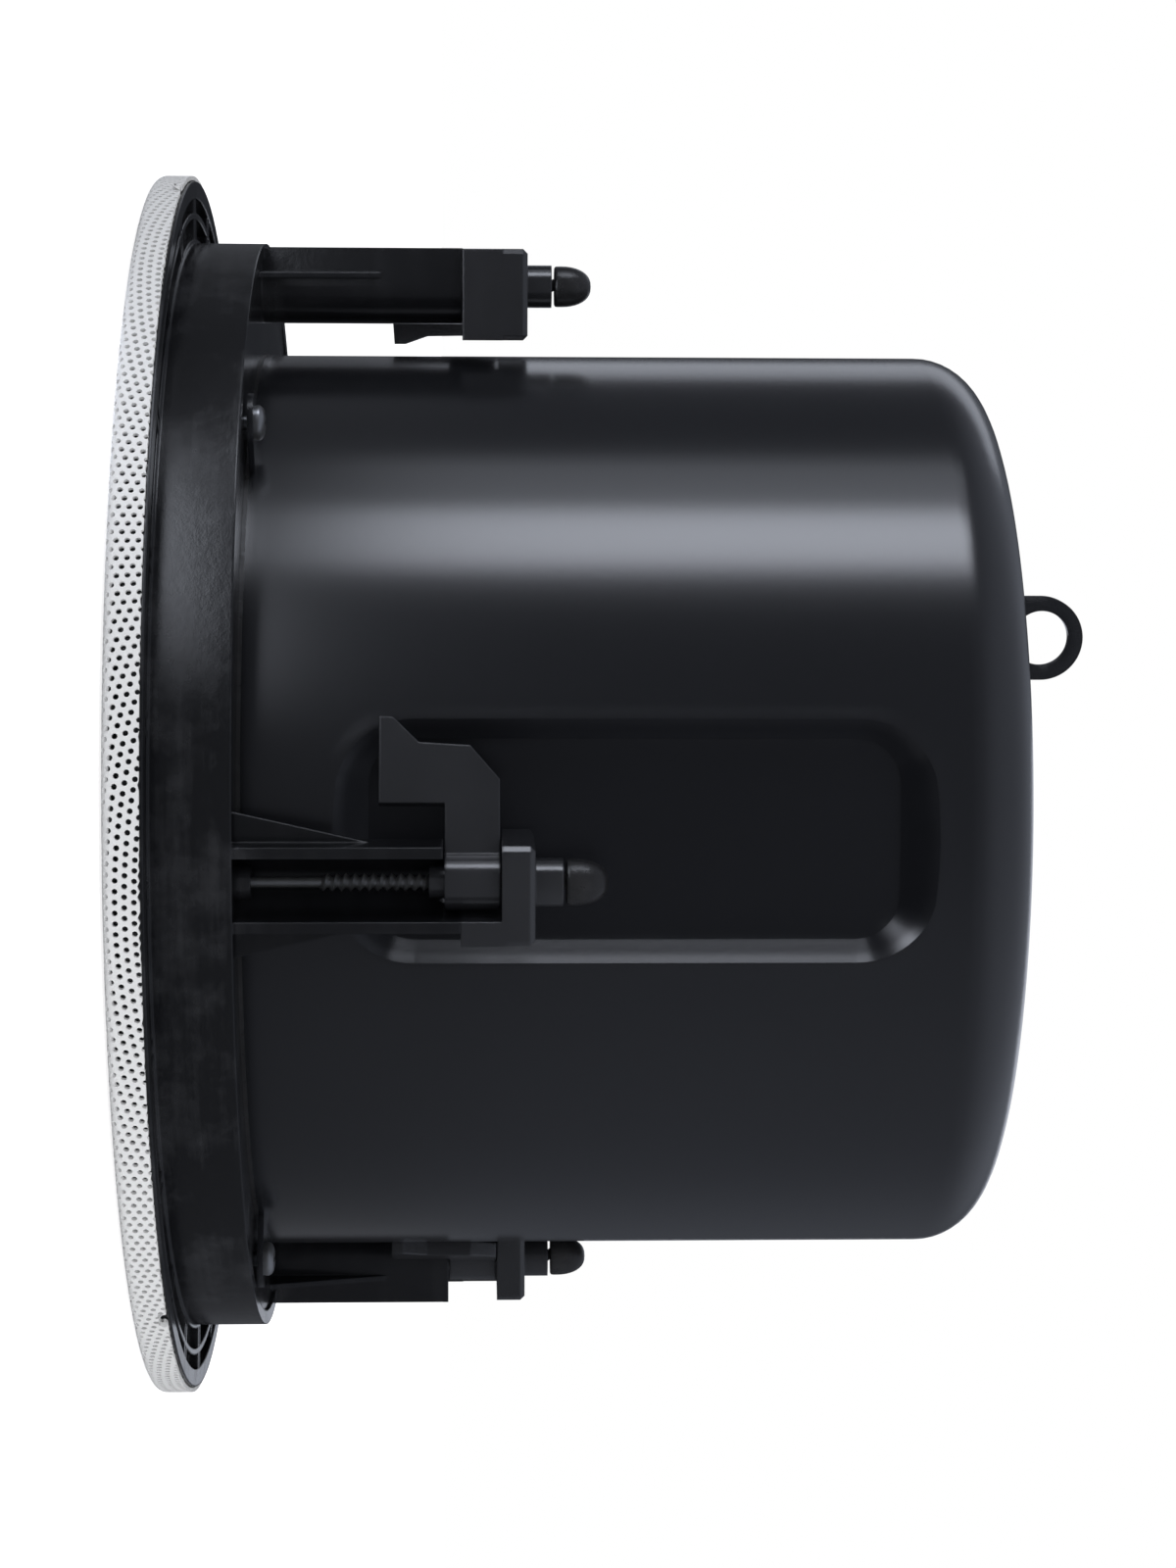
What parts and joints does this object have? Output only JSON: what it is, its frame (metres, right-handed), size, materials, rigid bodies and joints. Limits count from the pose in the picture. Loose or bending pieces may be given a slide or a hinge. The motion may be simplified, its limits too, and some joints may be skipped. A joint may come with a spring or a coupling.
{
  "type": "in-ceiling loudspeaker",
  "caption": "Round in-ceiling loudspeaker with a white perforated grille, ribbed black bezel, drawn steel back can and screw-driven clamp dogs that swing out to grip the ceiling board.",
  "frame": {"origin": "middle of the grille's face, on the loudspeaker's axis: the bottom centre of the bounding box, with the loudspeaker standing on its grille", "axes": "+Z along the loudspeaker's axis, from the grille to the back of the can; the clamps lie on the X and Y axes, and -Y is the side that faces the camera"},
  "size_m": [0.27, 0.27, 0.1965],
  "materials": {
    "white_paint": "satin white powder coat on perforated steel",
    "black_plastic": "moulded black, semi-gloss with scuffs",
    "black_paint": "satin bluish-black paint on steel",
    "black_rubber": "dull black",
    "black_screw": "glossy black oxide",
    "dark_screw": "black zinc plated",
    "plain_steel": "zinc plated",
    "ferrite": "dull grey-black ferrite",
    "coil_former": "copper winding on a metal former",
    "spider_cloth": "resin-treated cloth",
    "cone": "moulded cone",
    "dome_cloth": "coated cloth",
    "core_steel": "varnished laminations",
    "board": "glass-fibre board with plain forms for its parts",
    "green_plastic": "moulded"
  },
  "bodies": {
    "frame": {"grille": "white_paint", "bezel": "black_plastic", "back_can": "black_paint", "can_gasket": "black_rubber", "can_screws": "black_screw", "tower_cap_1": "black_plastic", "tower_cap_2": "black_plastic", "tower_cap_3": "black_plastic", "tower_cap_4": "black_plastic", "safety_eye": "black_paint", "safety_rivets": "black_screw", "terminal_cover": "black_paint", "terminal_screws": "black_screw", "terminal_block": "green_plastic", "woofer_basket": "black_paint", "woofer_top_plate": "plain_steel", "woofer_magnet": "ferrite", "woofer_yoke": "plain_steel", "woofer_spider": "spider_cloth", "woofer_surround": "black_rubber", "woofer_screws": "black_screw", "tweeter_post": "plain_steel", "tweeter_cup": "black_plastic", "tweeter_dome": "dome_cloth", "line_transformer": "core_steel", "crossover_board": "board", "selector_switch": "black_plastic"},
    "dog_1": {"clamp_dog_1": "black_plastic"},
    "dog_2": {"clamp_dog_2": "black_plastic"},
    "dog_3": {"clamp_dog_3": "black_plastic"},
    "dog_4": {"clamp_dog_4": "black_plastic"},
    "screw_1": {"clamp_screw_1": "dark_screw", "screw_tip_1": "black_rubber"},
    "screw_2": {"clamp_screw_2": "dark_screw", "screw_tip_2": "black_rubber"},
    "screw_3": {"clamp_screw_3": "dark_screw", "screw_tip_3": "black_rubber"},
    "screw_4": {"clamp_screw_4": "dark_screw", "screw_tip_4": "black_rubber"},
    "cone": {"woofer_cone": "cone", "woofer_voice_coil": "coil_former"},
    "knob": {"selector_knob": "black_plastic"}
  },
  "joints": [
    {"name": "dog_1_swing", "type": "hinge", "parent": "frame", "child": "dog_1", "pos_m": [0, -0.1115, 0.068], "axis": [0, 0, 1], "range_deg": [0, 112]},
    {"name": "dog_2_swing", "type": "hinge", "parent": "frame", "child": "dog_2", "pos_m": [0.1115, 0, 0.068], "axis": [0, 0, 1], "range_deg": [0, 112]},
    {"name": "dog_3_swing", "type": "hinge", "parent": "frame", "child": "dog_3", "pos_m": [0, 0.1115, 0.068], "axis": [0, 0, 1], "range_deg": [0, 112]},
    {"name": "dog_4_swing", "type": "hinge", "parent": "frame", "child": "dog_4", "pos_m": [-0.1115, 0, 0.068], "axis": [0, 0, 1], "range_deg": [0, 112]},
    {"name": "screw_1_turn", "type": "hinge", "parent": "frame", "child": "screw_1", "pos_m": [0, -0.1115, 0.05], "axis": [0, 0, 1], "continuous": true},
    {"name": "screw_2_turn", "type": "hinge", "parent": "frame", "child": "screw_2", "pos_m": [0.1115, 0, 0.05], "axis": [0, 0, 1], "continuous": true},
    {"name": "screw_3_turn", "type": "hinge", "parent": "frame", "child": "screw_3", "pos_m": [0, 0.1115, 0.05], "axis": [0, 0, 1], "continuous": true},
    {"name": "screw_4_turn", "type": "hinge", "parent": "frame", "child": "screw_4", "pos_m": [-0.1115, 0, 0.05], "axis": [0, 0, 1], "continuous": true},
    {"name": "cone_travel", "type": "slide", "parent": "frame", "child": "cone", "axis": [0, 0, 1], "range_m": [-0.0025, 0.0025], "deforming": ["woofer_surround", "woofer_spider"]},
    {"name": "knob_turn", "type": "hinge", "parent": "frame", "child": "knob", "pos_m": [0.0641, 0.0641, 0.002], "axis": [0, 0, 1], "range_deg": [0, 270]}
  ]
}
